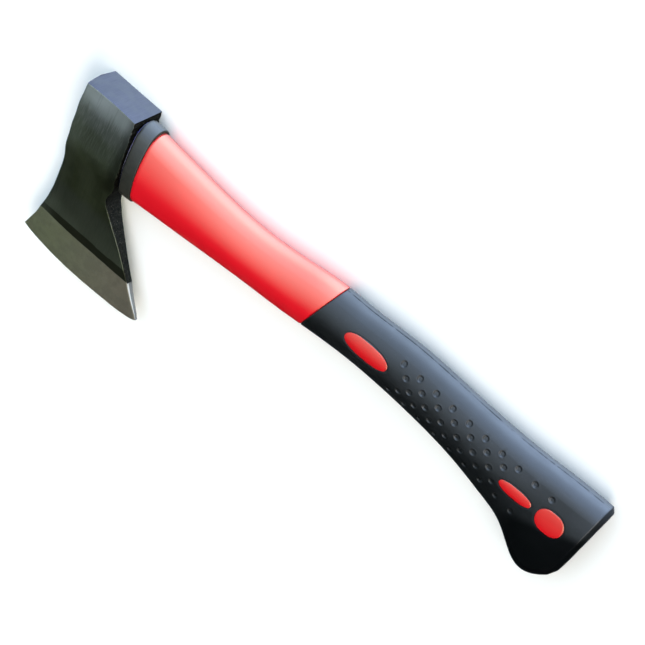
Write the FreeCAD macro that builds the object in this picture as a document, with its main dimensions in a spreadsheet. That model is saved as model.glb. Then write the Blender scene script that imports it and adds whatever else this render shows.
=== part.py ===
import FreeCAD, Part
import math
import os
import Sketcher

# A short hatchet lying on its left cheek: X runs from the head to the butt, the cutting
# edge faces -Y, the poll faces +Y, and Z = 0 is the plane that the tool rests on.
# The origin is the foot of the eye's centre on that plane.  Millimetres throughout.

SIZES = {
    # Forged head
    "head_thickness": 25.0,
    "overrun": 3.0,
    "block_reach": 500.0,
    "underside_slant": 4.97,
    "poll_top_x": -18.0,
    "poll_bottom_x": 18.0,
    "poll_y": 26.0,
    "lug_x": 22.0,
    "lug_y": -20.0,
    "notch_x": 19.0,
    "notch_y": -30.0,
    "beard_start_x": 20.5,
    "beard_start_y": -36.0,
    "throat_radius": 12.0,
    "heel_x": 64.0,
    "heel_y": -90.0,
    "edge_radius": 187.0,
    "toe_x": -26.0,
    "toe_y": -89.6,
    "toe_flare_x": -18.4,
    "toe_flare_y": -63.0,
    "toe_flare_radius": 120.0,
    "top_waist_y": 2.0,
    "top_waist_x": -17.6,
    "top_waist_radius": 190.0,
    # Half thickness of the blade at the stations of its wedge
    "cheek_end_y": -10.0,
    "cheek_round_radius": 33.5,
    "sweep_y": -22.0,
    "sweep_half": 10.3,
    "sweep_radius": 105.0,
    "web_y": -58.0,
    "web_half": 3.4,
    "bevel_y": -72.0,
    "bevel_half": 2.5,
    "edge_half": 0.4,
    "edge_y": -96.0,
    # Tapered eye, wider at the top so that the resin plug locks
    "eye_bottom_length": 35.0,
    "eye_bottom_width": 15.0,
    "eye_top_length": 38.0,
    "eye_top_width": 17.0,
    "eye_centre_y": -1.0,
    "eye_end_radius": 7.0,
    # Fibreglass core and the jacket's tenon in the eye
    "core_width": 18.0,
    "core_thickness": 11.0,
    "core_corner": 4.0,
    "core_start_x": -15.5,
    "core_length": 332.0,
    "core_tilt": 1.66,
    "tenon_length": 32.0,
    "tenon_width": 13.0,
    "tenon_end_radius": 5.5,
    "resin_top_x": -17.2,
    # Collar below the head
    "collar_gap": 1.4,
    "collar_end_x": 30.5,
    "collar_end_slant": 3.4,
    "collar_top_back": 25.2,
    "collar_top_belly": -24.6,
    "collar_top_thickness": 23.2,
    "collar_top_end_radius": 9.8,
    "collar_end_back": 24.9,
    "collar_end_belly": -24.0,
    "collar_end_thickness": 24.8,
    "collar_end_end_radius": 9.8,
    "bead_back": 21.4,
    "bead_belly": -22.6,
    "bead_thickness": 21.4,
    "bead_end_radius": 9.0,
    "neck_back": 20.4,
    "neck_belly": -21.0,
    "neck_thickness": 20.0,
    "neck_end_radius": 8.6,
    # Handle
    "handle_thickness": 24.0,
    "handle_end_radius": 10.0,
    "grip_wall": 2.5,
    "island_rise": 0.5,
    "dimple_depth": 0.6,
    "boundary_x": 155.3,
    "boundary_slant": 19.0,
    "butt_x": 341.6,
    "butt_slant": 5.7,
    "butt_wall": 4.0,
    "butt_chamfer": 2.5,
    # Raised islands of the jacket in the grip's windows
    "pad_x": 192.7,
    "pad_y": 9.0,
    "pad_length": 29.0,
    "pad_width": 10.6,
    "island_end_ratio": 0.44,
    "bar_x": 299.0,
    "bar_y": 1.6,
    "bar_length": 21.0,
    "bar_width": 7.0,
    "boss_x": 322.0,
    "boss_y": 1.2,
    "boss_length": 17.0,
    "boss_width": 14.0,
    # Field of dimples on each face of the grip
    "dimple_radius": 1.75,
}

# Handle outline: distance from the origin along X, then the back (poll side) and the
# belly (blade side) of the section there.  The last stations round the hooked butt lobe.
FORM_STATIONS = (
    (27.0, 23.6, -23.5),
    (45.0, 21.5, -21.5),
    (62.0, 19.7, -19.9),
    (90.0, 17.4, -17.1),
    (115.0, 17.8, -15.0),
    (140.0, 20.8, -13.1),
    (157.0, 23.1, -11.2),
    (180.0, 23.5, -9.2),
    (210.0, 25.1, -9.1),
    (235.0, 24.7, -10.7),
    (262.0, 23.4, -14.5),
    (285.0, 23.1, -20.3),
    (300.0, 23.5, -26.2),
    (310.0, 24.1, -34.3),
    (320.0, 24.6, -40.3),
    (331.0, 24.9, -36.8),
    (346.0, 25.1, -19.0),
)

# Rows of dimples: the first centre, the last centre and how many there are
DIMPLE_ROWS = (
    (213.2, 17.9, 316.1, 13.0, 10),
    (218.6, 12.6, 286.5, 9.5, 7),
    (224.0, 7.3, 280.3, 3.8, 6),
    (218.3, 3.1, 285.4, -1.9, 7),
    (212.8, -1.2, 302.2, -9.0, 9),
)
ROW_KEYS = ("first_x", "first_y", "last_x", "last_y")

doc = FreeCAD.newDocument("hatchet")
sheet = doc.addObject("Spreadsheet::Sheet", "Sizes")


def fill_sheet():
    """Write every driving dimension to its own aliased cell."""
    values = dict(SIZES)
    for index, (x, back, belly) in enumerate(FORM_STATIONS):
        values["form_x_%02d" % index] = x
        values["form_back_%02d" % index] = back
        values["form_belly_%02d" % index] = belly
    for index, row_ends in enumerate(DIMPLE_ROWS):
        for key, value in zip(ROW_KEYS, row_ends):
            values["dimple_%s_%d" % (key, index)] = value
    for row, (alias, value) in enumerate(values.items(), start=1):
        sheet.set("A%d" % row, alias)
        sheet.set("B%d" % row, str(value))
        sheet.setAlias("B%d" % row, alias)
    doc.recompute()


def size(alias):
    """A driving dimension, read back from the sheet."""
    return float(sheet.get(alias))


def value_of(expression):
    """The number that an expression over the sheet gives, for a sketch's first shape."""
    return float(sheet.evalExpression(expression.replace("Sizes.", "")))


def origin_plane(body, role):
    """The body's own origin plane with this role."""
    for feature in body.Origin.OriginFeatures:
        if feature.Role == role:
            return feature
    raise ValueError("no plane " + role)


def new_sketch(body, name, role, offset=None):
    """A sketch on one of the body's origin planes, moved along its normal by an expression."""
    sketch = body.newObject("Sketcher::SketchObject", name)
    sketch.AttachmentSupport = [(origin_plane(body, role), "")]
    sketch.MapMode = "FlatFace"
    if offset:
        sketch.setExpression("AttachmentOffset.Base.z", offset)
    doc.recompute()
    return sketch


def bind(sketch, constraint, expression):
    """Add a dimensional constraint and drive it from the sheet."""
    index = sketch.addConstraint(constraint)
    sketch.setExpression("Constraints[%d]" % index, expression)


def pin(sketch, geometry, end, across, up):
    """Drive both coordinates of a point of a sketch from expressions."""
    point = sketch.getPoint(geometry, end)
    bind(sketch, Sketcher.Constraint("DistanceX", geometry, end, point.x), across)
    bind(sketch, Sketcher.Constraint("DistanceY", geometry, end, point.y), up)


def draw_oval(sketch, high, low, middle, thickness, end_radius, inset="0"):
    """Four tangent arcs round a line from low to high across the sketch, at height middle.

    The two end arcs sit at low and high; the two face arcs between them take the radius
    that makes the oval as thick as asked.  Inset moves the whole outline inwards.
    """
    ends = "((%s) - (%s))" % (end_radius, inset)
    half = "((%s) / 2 - (%s))" % (thickness, inset)
    high_centre = "(%s) - (%s)" % (high, end_radius)
    low_centre = "(%s) + (%s)" % (low, end_radius)
    reach = "(((%s) - (%s)) / 2)" % (high_centre, low_centre)
    faces = "(%s ^ 2 + %s ^ 2 - %s ^ 2) / (2 * (%s - %s))" % (reach, half, ends, half, ends)
    end_r, half_t, face_r = value_of(ends), value_of(half), value_of(faces)
    right, left, level = value_of(high_centre), value_of(low_centre), value_of(middle)
    centre = (right + left) / 2
    turn = math.atan2(face_r - half_t, value_of(reach))
    normal = FreeCAD.Vector(0, 0, 1)
    arcs = (
        (right, level, end_r, -turn, turn),
        (centre, level + half_t - face_r, face_r, turn, math.pi - turn),
        (left, level, end_r, math.pi - turn, math.pi + turn),
        (centre, level - half_t + face_r, face_r, math.pi + turn, 2 * math.pi - turn),
    )
    for across, up, radius, start, stop in arcs:
        circle = Part.Circle(FreeCAD.Vector(across, up, 0), normal, radius)
        sketch.addGeometry(Part.ArcOfCircle(circle, start, stop), False)
    for index in range(len(arcs)):
        after = (index + 1) % len(arcs)
        sketch.addConstraint(Sketcher.Constraint("Tangent", index, 2, after, 1))
    bind(sketch, Sketcher.Constraint("Radius", 0, end_r), ends)
    sketch.addConstraint(Sketcher.Constraint("Equal", 0, 2))
    bind(sketch, Sketcher.Constraint("Radius", 1, face_r), faces)
    sketch.addConstraint(Sketcher.Constraint("Equal", 1, 3))
    pin(sketch, 0, 3, high_centre, middle)
    pin(sketch, 2, 3, low_centre, middle)
    doc.recompute()


def oval_section(body, name, x, back, belly, thickness, end_radius, inset="0"):
    """An oval square to X, centred on the head's mid-plane."""
    sketch = new_sketch(body, name, "YZ_Plane", x)
    draw_oval(sketch, back, belly, "Sizes.head_thickness / 2", thickness, end_radius, inset)
    return sketch


def loft(body, name, sections):
    """A smooth solid through a row of sections."""
    skin = body.newObject("PartDesign::AdditiveLoft", name)
    skin.Profile = sections[0]
    skin.Sections = sections[1:]
    doc.recompute()
    return skin


def handle_form(name, inset):
    """The handle's whole outer shape below the collar, moved inwards by an inset."""
    body = doc.addObject("PartDesign::Body", name)
    sections = []
    for index in range(len(FORM_STATIONS)):
        sections.append(oval_section(
            body,
            "%s_section_%02d" % (name, index),
            "Sizes.form_x_%02d" % index,
            "Sizes.form_back_%02d" % index,
            "Sizes.form_belly_%02d" % index,
            "Sizes.handle_thickness",
            "Sizes.handle_end_radius",
            inset,
        ))
    loft(body, name + "_loft", sections)
    return body


def line(sketch, start, end):
    """A straight edge between two points of the sketch plane."""
    segment = Part.LineSegment(FreeCAD.Vector(*start, 0), FreeCAD.Vector(*end, 0))
    return sketch.addGeometry(segment, False)


def arc(sketch, start, end, radius, bulge_side):
    """An arc between two points; bulge_side is 1 to bulge to the left of the way, else -1."""
    across = end[0] - start[0]
    up = end[1] - start[1]
    chord = math.hypot(across, up)
    rise = radius - math.sqrt(radius ** 2 - chord ** 2 / 4)
    middle = (
        (start[0] + end[0]) / 2 - bulge_side * rise * up / chord,
        (start[1] + end[1]) / 2 + bulge_side * rise * across / chord,
    )
    points = [FreeCAD.Vector(*point, 0) for point in (start, middle, end)]
    return sketch.addGeometry(Part.Arc(*points), False)


def ends_in_order(sketch, geometry, start):
    """The point numbers of an edge's two ends, the one nearest to start first."""
    first = sketch.getPoint(geometry, 1)
    near_first = math.hypot(first.x - start[0], first.y - start[1]) < 1e-4
    return (1, 2) if near_first else (2, 1)


def outline(sketch, corners):
    """A closed profile through driven corners.

    Each corner is (x expression, y expression, radius expression or None, bulge side) and
    its radius bends the edge that leaves it.
    """
    places = [(value_of(across), value_of(up)) for across, up, _, _ in corners]
    edges = []
    for index, (across, up, radius, bulge_side) in enumerate(corners):
        start, end = places[index], places[(index + 1) % len(places)]
        if radius is None:
            geometry = line(sketch, start, end)
        else:
            geometry = arc(sketch, start, end, value_of(radius), bulge_side)
        edges.append((geometry,) + ends_in_order(sketch, geometry, start))
    for index, (geometry, first, last) in enumerate(edges):
        after, after_first, _ = edges[(index + 1) % len(edges)]
        sketch.addConstraint(Sketcher.Constraint("Coincident", geometry, last, after, after_first))
    for (geometry, first, _), (across, up, radius, _) in zip(edges, corners):
        pin(sketch, geometry, first, across, up)
        if radius is not None:
            bind(sketch, Sketcher.Constraint("Radius", geometry, value_of(radius)), radius)
    doc.recompute()


def pad(body, name, sketch, length, both_ways=False):
    """Extrude a sketch by an expression."""
    feature = body.newObject("PartDesign::Pad", name)
    feature.Profile = sketch
    feature.setExpression("Length", length)
    if both_ways:
        feature.SideType = "Symmetric"
    doc.recompute()
    return feature


def combine(kind, name, first, second):
    """A boolean of two objects: Part::Cut, Part::Common or Part::Fuse."""
    result = doc.addObject(kind, name)
    result.Base = first
    result.Tool = second
    doc.recompute()
    return result


def head_side_form():
    """The forging seen from its cheek: poll, lugged underside, beard, edge and top."""
    body = doc.addObject("PartDesign::Body", "head_side_form")
    sketch = new_sketch(body, "head_side_profile", "XY_Plane", "Sizes.head_thickness / 2")
    outline(sketch, (
        ("Sizes.poll_top_x", "Sizes.poll_y", None, 0),
        ("Sizes.poll_bottom_x", "Sizes.poll_y", None, 0),
        ("Sizes.lug_x", "Sizes.lug_y", None, 0),
        ("Sizes.notch_x", "Sizes.notch_y", "Sizes.throat_radius", -1),
        ("Sizes.beard_start_x", "Sizes.beard_start_y", None, 0),
        ("Sizes.heel_x", "Sizes.heel_y", "Sizes.edge_radius", 1),
        ("Sizes.toe_x", "Sizes.toe_y", "Sizes.toe_flare_radius", -1),
        ("Sizes.toe_flare_x", "Sizes.toe_flare_y", "Sizes.top_waist_radius", -1),
        ("Sizes.top_waist_x", "Sizes.top_waist_y", None, 0),
    ))
    pad(body, "head_side_pad", sketch, "Sizes.head_thickness + 2 * Sizes.overrun", both_ways=True)
    return body


def head_wedge_form():
    """The forging seen from above: flat cheeks that round off and sweep down to the edge."""
    middle = "Sizes.head_thickness / 2"
    upper = (
        ("Sizes.edge_y", "Sizes.edge_half", None, 0),
        ("Sizes.bevel_y", "Sizes.bevel_half", None, 0),
        ("Sizes.web_y", "Sizes.web_half", "Sizes.sweep_radius", -1),
        ("Sizes.sweep_y", "Sizes.sweep_half", "Sizes.cheek_round_radius", 1),
        ("Sizes.cheek_end_y", middle, None, 0),
        ("Sizes.poll_y + Sizes.overrun", middle, None, 0),
    )
    # The lower half runs back the other way, so each bend moves to the corner before it
    lower = []
    for index in range(len(upper) - 1, -1, -1):
        across, half, _, _ = upper[index]
        _, _, radius, bulge_side = upper[index - 1]
        lower.append((across, "%s - (%s)" % (middle, half), radius, bulge_side))
    lower[-1] = lower[-1][:2] + (None, 0)
    raised = [(across, "%s + (%s)" % (middle, half), radius, bulge_side)
              for across, half, radius, bulge_side in upper]
    body = doc.addObject("PartDesign::Body", "head_wedge_form")
    sketch = new_sketch(body, "head_wedge_profile", "YZ_Plane")
    outline(sketch, raised + lower)
    pad(body, "head_wedge_pad", sketch, "4 * Sizes.heel_x", both_ways=True)
    return body


def two_section_form(name, first, second):
    """A tapered body between two oval sections, each given as (x, back, belly, thickness,
    end radius) expressions."""
    body = doc.addObject("PartDesign::Body", name)
    sections = [oval_section(body, "%s_section_%d" % (name, index), *section)
                for index, section in enumerate((first, second))]
    loft(body, name + "_loft", sections)
    return body


def centred_section(length, width, end_radius):
    """The (back, belly, thickness, end radius) of an oval centred on the eye."""
    back = "Sizes.eye_centre_y + Sizes.%s / 2" % length
    belly = "Sizes.eye_centre_y - Sizes.%s / 2" % length
    return back, belly, "Sizes." + width, "Sizes." + end_radius


def neck_section(prefix):
    """The (back, belly, thickness, end radius) of one of the neck's or collar's sections."""
    return tuple("Sizes.%s_%s" % (prefix, part)
                 for part in ("back", "belly", "thickness", "end_radius"))


def eye_form():
    """The eye's tapered hole, running clear of the head at both ends."""
    return two_section_form(
        "eye_form",
        ("Sizes.poll_top_x - Sizes.overrun",)
        + centred_section("eye_top_length", "eye_top_width", "eye_end_radius"),
        ("Sizes.lug_x + Sizes.overrun",)
        + centred_section("eye_bottom_length", "eye_bottom_width", "eye_end_radius"),
    )


def half_space(name, x, y, slant, keep_x):
    """A big block whose one face passes through (x, y), turned by a slant about Z.

    keep_x is 1 for the block beyond the face along X, and -1 for the block before it.
    """
    block = doc.addObject("Part::Box", name)
    block.setExpression("Length", "Sizes.block_reach")
    block.setExpression("Width", "2 * Sizes.block_reach")
    block.setExpression("Height", "Sizes.block_reach")
    back_off = "0" if keep_x > 0 else "Sizes.block_reach"
    block.setExpression("Placement.Base.x", "%s + Sizes.block_reach * sin(%s) - %s * cos(%s)"
                        % (x, slant, back_off, slant))
    block.setExpression("Placement.Base.y", "%s - Sizes.block_reach * cos(%s) - %s * sin(%s)"
                        % (y, slant, back_off, slant))
    block.setExpression("Placement.Base.z", "-Sizes.block_reach / 2")
    block.setExpression("Placement.Rotation.Angle", slant)
    doc.recompute()
    return block


def common(name, first, second):
    return combine("Part::Common", name, first, second)


def cut(name, first, second):
    return combine("Part::Cut", name, first, second)


def fuse(name, first, second):
    return combine("Part::Fuse", name, first, second)


def straight_form(name, start_x, length, section):
    """An oval bar along X, from its section's (back, belly, thickness, end radius)."""
    body = doc.addObject("PartDesign::Body", name)
    sketch = oval_section(body, name + "_section", start_x, *section)
    pad(body, name + "_pad", sketch, length)
    return body


def core_rod():
    """The straight fibreglass bar, tilted towards the back to stay inside the bent grip."""
    body = doc.addObject("PartDesign::Body", "core_bar")
    sketch = new_sketch(body, "core_section", "YZ_Plane")
    half_width = "Sizes.core_width / 2"
    half_height = "Sizes.core_thickness / 2"
    outline(sketch, (
        ("-" + half_width, "-" + half_height, None, 0),
        (half_width, "-" + half_height, None, 0),
        (half_width, half_height, None, 0),
        ("-" + half_width, half_height, None, 0),
    ))
    bar = pad(body, "core_pad", sketch, "Sizes.core_length")
    long_edges = ["Edge%d" % (index + 1) for index, edge in enumerate(bar.Shape.Edges)
                  if edge.BoundBox.XLength > size("core_length") / 2]
    rounding = body.newObject("PartDesign::Fillet", "core_rounding")
    rounding.Base = (bar, long_edges)
    rounding.setExpression("Radius", "Sizes.core_corner")
    body.setExpression("Placement.Base.x", "Sizes.core_start_x")
    body.setExpression("Placement.Base.y", "Sizes.core_start_x * tan(Sizes.core_tilt)")
    body.setExpression("Placement.Base.z", "Sizes.head_thickness / 2")
    body.setExpression("Placement.Rotation.Angle", "Sizes.core_tilt")
    doc.recompute()
    return body


def island_prism(prefix):
    """A four-arc oval prism through the whole grip, where an island and its window lie."""
    body = doc.addObject("PartDesign::Body", prefix + "_prism")
    sketch = new_sketch(body, prefix + "_outline", "XY_Plane", "Sizes.head_thickness / 2")
    draw_oval(
        sketch,
        "Sizes.%s_x + Sizes.%s_length / 2" % (prefix, prefix),
        "Sizes.%s_x - Sizes.%s_length / 2" % (prefix, prefix),
        "Sizes.%s_y" % prefix,
        "Sizes.%s_width" % prefix,
        "Sizes.island_end_ratio * Sizes.%s_width" % prefix,
    )
    pad(body, prefix + "_pad", sketch, "Sizes.head_thickness + 2 * Sizes.overrun", both_ways=True)
    return body


def dimple_prisms():
    """Round bars through the grip, one for each pair of dimples on its two faces."""
    height = size("head_thickness") + 2 * size("overrun")
    bars = []
    for row, (_, _, _, _, count) in enumerate(DIMPLE_ROWS):
        first_x, first_y, last_x, last_y = [size("dimple_%s_%d" % (key, row)) for key in ROW_KEYS]
        for step in range(count):
            share = step / (count - 1)
            x = first_x + share * (last_x - first_x)
            y = first_y + share * (last_y - first_y)
            foot = FreeCAD.Vector(x, y, -size("overrun"))
            bars.append(Part.makeCylinder(size("dimple_radius"), height, foot))
    feature = doc.addObject("Part::Feature", "dimple_prisms")
    feature.Shape = Part.makeCompound(bars)
    feature.Placement = FreeCAD.Placement()
    doc.recompute()
    return feature


def butt_chamfer(blank):
    """Chamfer the edges round the slanted end face of the grip."""
    slant = math.radians(size("butt_slant"))
    across = FreeCAD.Vector(math.cos(slant), -math.sin(slant), 0)
    face_at = across.dot(FreeCAD.Vector(size("butt_x"), 0, 0))
    width = size("butt_chamfer")
    edges = [(index + 1, width, width) for index, edge in enumerate(blank.Shape.Edges)
             if all(abs(across.dot(vertex.Point) - face_at) < 1e-3 for vertex in edge.Vertexes)]
    chamfer = doc.addObject("Part::Chamfer", "grip_chamfered")
    chamfer.Base = blank
    chamfer.Edges = edges
    doc.recompute()
    return chamfer


def name_part(feature, node):
    """Give a finished sub-part the label that names its file."""
    feature.Label = node
    return feature


def build_head(eye):
    forging = common("head_forging", head_side_form(), head_wedge_form())
    return name_part(cut("head_with_eye", forging, eye), "axe_head")


def build_handle(core, collar_face):
    """The jacket, collar and grip, which share the handle's outer form."""
    outer = handle_form("handle_outer", "0")
    inner = handle_form("handle_inner", "Sizes.grip_wall")
    raised = handle_form("handle_raised", "-Sizes.island_rise")
    dimple_floor = handle_form("handle_dimpled", "Sizes.dimple_depth")

    collar_end = ("Sizes.collar_end_x", "0", "Sizes.collar_end_slant")
    boundary = ("Sizes.boundary_x", "0", "-Sizes.boundary_slant")
    butt = ("Sizes.butt_x", "0", "-Sizes.butt_slant")
    butt_inside = ("Sizes.butt_x - Sizes.butt_wall", "0", "-Sizes.butt_slant")
    core_under_grip = common("jacket_rebate", inner, half_space("before_butt_wall", *butt_inside, -1))

    pad_and_bar = fuse("pad_and_bar", island_prism("pad"), island_prism("bar"))
    prisms = fuse("island_prisms", pad_and_bar, island_prism("boss"))
    islands = common("islands", prisms, raised)

    neck_shape = neck_section("neck")
    neck = straight_form("neck_form", "Sizes.poll_bottom_x",
                         "Sizes.collar_end_x - Sizes.poll_bottom_x + Sizes.overrun", neck_shape)
    neck_below_head = common("neck_below_head", neck, collar_face)
    tenon_shape = centred_section("tenon_length", "tenon_width", "tenon_end_radius")
    tenon = straight_form("tenon_form", "Sizes.core_start_x",
                          "Sizes.collar_end_x - Sizes.core_start_x", tenon_shape)
    stem = fuse("neck_and_tenon", neck_below_head, tenon)

    jacket = common("jacket_before_grip", outer, half_space("before_boundary", *boundary, -1))
    jacket = common("jacket_visible", jacket, half_space("past_collar_end", *collar_end, 1))
    for index, piece in enumerate((core_under_grip, islands, stem)):
        jacket = fuse("jacket_stage_%d" % index, jacket, piece)
    jacket = name_part(cut("jacket_with_bore", jacket, core), "handle_jacket")

    grip = common("grip_behind_boundary", outer, half_space("past_boundary", *boundary, 1))
    grip = butt_chamfer(common("grip_blank", grip, half_space("before_butt", *butt, -1)))
    grip = cut("grip_hollow", grip, core_under_grip)
    grip = cut("grip_windowed", grip, prisms)
    dimples = cut("dimples", dimple_prisms(), dimple_floor)
    grip = name_part(cut("grip_dimpled", grip, dimples), "grip_sleeve")

    collar = two_section_form(
        "collar_form",
        ("Sizes.poll_bottom_x",) + neck_section("collar_top"),
        ("Sizes.collar_end_x + Sizes.overrun",) + neck_section("collar_end"),
    )
    collar = common("collar_below_head", collar, collar_face)
    collar = common("collar_trimmed", collar, half_space("before_collar_end", *collar_end, -1))
    collar = name_part(cut("collar_with_bore", collar, neck), "neck_collar")
    return tenon, jacket, collar, grip


def build_resin(eye, tenon, core, head_face, collar_face):
    """The epoxy round the tenon in the eye, and its bead between the head and the collar."""
    slanted = ("Sizes.poll_bottom_x", "Sizes.poll_y", "Sizes.underside_slant")
    bed = common("resin_above_underside", eye, half_space("before_head_face", *slanted, -1))
    top = ("Sizes.resin_top_x", "0", "0")
    bed = common("resin_bed", bed, half_space("below_resin_top", *top, 1))
    bead = straight_form("bead_form", "Sizes.poll_bottom_x - Sizes.overrun",
                         "Sizes.lug_x - Sizes.poll_bottom_x + 3 * Sizes.overrun",
                         neck_section("bead"))
    bead = common("bead_below_head", bead, head_face)
    bead = cut("resin_bead", bead, collar_face)
    resin = fuse("resin_block", bed, bead)
    resin = cut("resin_round_tenon", resin, tenon)
    return name_part(cut("resin_round_core", resin, core), "eye_resin")


def check_objects():
    """Stop if any object of the document failed to compute."""
    for item in doc.Objects:
        if "Invalid" in item.State or "Error" in item.State:
            raise RuntimeError("%s failed: %s" % (item.Name, item.State))


def export(parts):
    """Write each sub-part's solid to the file that its label names."""
    os.makedirs("parts", exist_ok=True)
    for part in parts:
        if part.Shape.isNull() or not part.Shape.isValid():
            raise RuntimeError("%s has no valid shape" % part.Label)
    for part in parts:
        part.Shape.exportStep("parts/%s.step" % part.Label)
        print("%-14s %9.1f mm3, %d solid(s)" % (part.Label, part.Shape.Volume, len(part.Shape.Solids)))


fill_sheet()
underside = ("Sizes.poll_bottom_x", "Sizes.poll_y", "Sizes.underside_slant")
below_underside = half_space("past_head_face", *underside, 1)
collar_plane = ("Sizes.poll_bottom_x + Sizes.collar_gap", "Sizes.poll_y", "Sizes.underside_slant")
below_gap = half_space("past_collar_face", *collar_plane, 1)

eye_hole = eye_form()
core_bar = core_rod()
head = build_head(eye_hole)
tenon_bar, jacket_part, collar_part, grip_part = build_handle(core_bar, below_gap)
resin_part = build_resin(eye_hole, tenon_bar, core_bar, below_underside, below_gap)
core_part = name_part(core_bar, "core_rod")

check_objects()
export((head, core_part, jacket_part, collar_part, grip_part, resin_part))
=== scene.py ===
import math

import bpy
import numpy as np
from mathutils import Matrix, Vector, noise


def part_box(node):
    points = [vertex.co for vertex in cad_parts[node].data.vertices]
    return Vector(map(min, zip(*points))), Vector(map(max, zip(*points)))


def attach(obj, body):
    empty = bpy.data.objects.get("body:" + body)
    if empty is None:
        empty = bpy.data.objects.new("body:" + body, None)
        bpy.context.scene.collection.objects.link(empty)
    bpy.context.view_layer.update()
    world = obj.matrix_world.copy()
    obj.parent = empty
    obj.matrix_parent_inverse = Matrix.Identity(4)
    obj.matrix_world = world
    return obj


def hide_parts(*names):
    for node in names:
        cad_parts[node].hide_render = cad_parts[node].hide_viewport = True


# A short hatchet lying on its left cheek.  X runs from the head to the butt, the cutting
# edge faces -Y and the poll faces +Y.  Shapes are worked out in millimetres and written to
# the meshes in metres, in the frame of the CAD model.

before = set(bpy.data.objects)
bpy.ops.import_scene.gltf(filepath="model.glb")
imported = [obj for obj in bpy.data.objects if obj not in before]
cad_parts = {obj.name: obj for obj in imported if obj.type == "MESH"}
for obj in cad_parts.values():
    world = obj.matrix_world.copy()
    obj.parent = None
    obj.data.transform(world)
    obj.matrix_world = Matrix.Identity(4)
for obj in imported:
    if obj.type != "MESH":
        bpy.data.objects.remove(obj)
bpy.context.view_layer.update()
MM = 0.001

head_low, head_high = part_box("axe_head")
MID_Z = (head_low.z + head_high.z) / 2 / MM
POLL_Y = head_high.y / MM
TOE_X = head_low.x / MM
HEEL_X = head_high.x / MM
HANDLE_HALF = 12.0
END_RADIUS = 10.0

# Handle outline: distance along X, then the back (poll side) and the belly (blade side)
FORM_STATIONS = (
    (27.0, 23.6, -23.5), (45.0, 21.5, -21.5), (62.0, 19.7, -19.9), (90.0, 17.4, -17.1),
    (115.0, 17.8, -15.0), (140.0, 20.8, -13.1), (157.0, 23.1, -11.2), (180.0, 23.5, -9.2),
    (210.0, 25.1, -9.1), (235.0, 24.7, -10.7), (262.0, 23.4, -14.5), (285.0, 23.1, -20.3),
    (300.0, 23.5, -26.2), (310.0, 24.1, -34.3), (320.0, 24.6, -40.3), (331.0, 24.9, -36.8),
    (346.0, 25.1, -19.0),
)

# The head's underside slants through its poll corner, and the collar's end slants less
POLL_CORNER_X = 18.0
POLL_CORNER_Y = 26.0
UNDERSIDE_SLOPE = -math.tan(math.radians(4.97))
UNDERSIDE_X = POLL_CORNER_X - UNDERSIDE_SLOPE * POLL_CORNER_Y
COLLAR_END_X = 30.5
COLLAR_END_SLOPE = -math.tan(math.radians(3.4))

# The slanted line between red jacket and grip, and the slanted butt
BOUNDARY_X = 155.3
BOUNDARY_SLOPE = math.tan(math.radians(19.0))
BUTT_X = 341.6
BUTT_SLOPE = math.tan(math.radians(5.7))
BUTT_CHAMFER = 2.5

# Raised islands of the jacket: centre x and y, length and width
ISLANDS = {
    "island_pad": (192.7, 9.0, 29.0, 10.6),
    "island_bar": (299.0, 1.6, 21.0, 7.0),
    "island_boss": (322.0, 1.2, 17.0, 14.0),
}
ISLAND_RISE = 0.5
ISLAND_EDGE_RISE = 0.1

# Rows of dimples: first centre, last centre and how many
DIMPLE_ROWS = (
    (213.2, 17.9, 316.1, 13.0, 10),
    (218.6, 12.6, 286.5, 9.5, 7),
    (224.0, 7.3, 280.3, 3.8, 6),
    (218.3, 3.1, 285.4, -1.9, 7),
    (212.8, -1.2, 302.2, -9.0, 9),
)
DIMPLE_RADIUS = 1.75
DIMPLE_DEPTH = 0.55


# ---------------------------------------------------------------- curves and meshes

def cubic_through(xs, ys):
    """A natural cubic spline through points, as a function of x."""
    xs = np.array(xs, float)
    ys = np.array(ys, float)
    gaps = np.diff(xs)
    count = len(xs)
    matrix = np.eye(count)
    right = np.zeros(count)
    slopes = np.diff(ys) / gaps
    for i in range(1, count - 1):
        matrix[i, i - 1:i + 2] = gaps[i - 1], 2 * (gaps[i - 1] + gaps[i]), gaps[i]
        right[i] = 6 * (slopes[i] - slopes[i - 1])
    bends = np.linalg.solve(matrix, right)

    def value(x):
        x = np.asarray(x, float)
        i = np.clip(np.searchsorted(xs, x) - 1, 0, count - 2)
        gap = gaps[i]
        after = (x - xs[i]) / gap
        before = 1 - after
        bend = (before ** 3 - before) * bends[i] + (after ** 3 - after) * bends[i + 1]
        return before * ys[i] + after * ys[i + 1] + bend * gap ** 2 / 6

    return value


def smooth_step(low, high, value):
    """0 at low, 1 at high and an S between them; low may be the larger one."""
    share = np.clip((value - low) / (high - low), 0, 1)
    return share * share * (3 - 2 * share)


def wander(values, pitch, amount, seed):
    """A smooth random drift along a list of distances."""
    return amount * np.array([noise.noise(Vector((v / pitch, seed, 0.5))) for v in np.ravel(values)]
                             ).reshape(np.shape(values))


def mesh_object(name, points, faces, sharp_degrees=None):
    """A mesh piece from points in millimetres and faces."""
    mesh = bpy.data.meshes.new(name)
    mesh.from_pydata([tuple(p) for p in np.asarray(points) * MM], [], faces)
    mesh.validate()
    mesh.update()
    piece = bpy.data.objects.new(name, mesh)
    bpy.context.scene.collection.objects.link(piece)
    mesh.shade_smooth()
    if sharp_degrees:
        mesh.set_sharp_from_angle(angle=math.radians(sharp_degrees))
    return piece


def ring_faces(ring_count, ring_size, first=0, flip=False):
    """Quads between closed rings that follow each other in the point list."""
    faces = []
    for r in range(ring_count - 1):
        a = first + r * ring_size
        b = a + ring_size
        for k in range(ring_size):
            after = (k + 1) % ring_size
            quad = (a + k, a + after, b + after, b + k)
            faces.append(quad[::-1] if flip else quad)
    return faces


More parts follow.
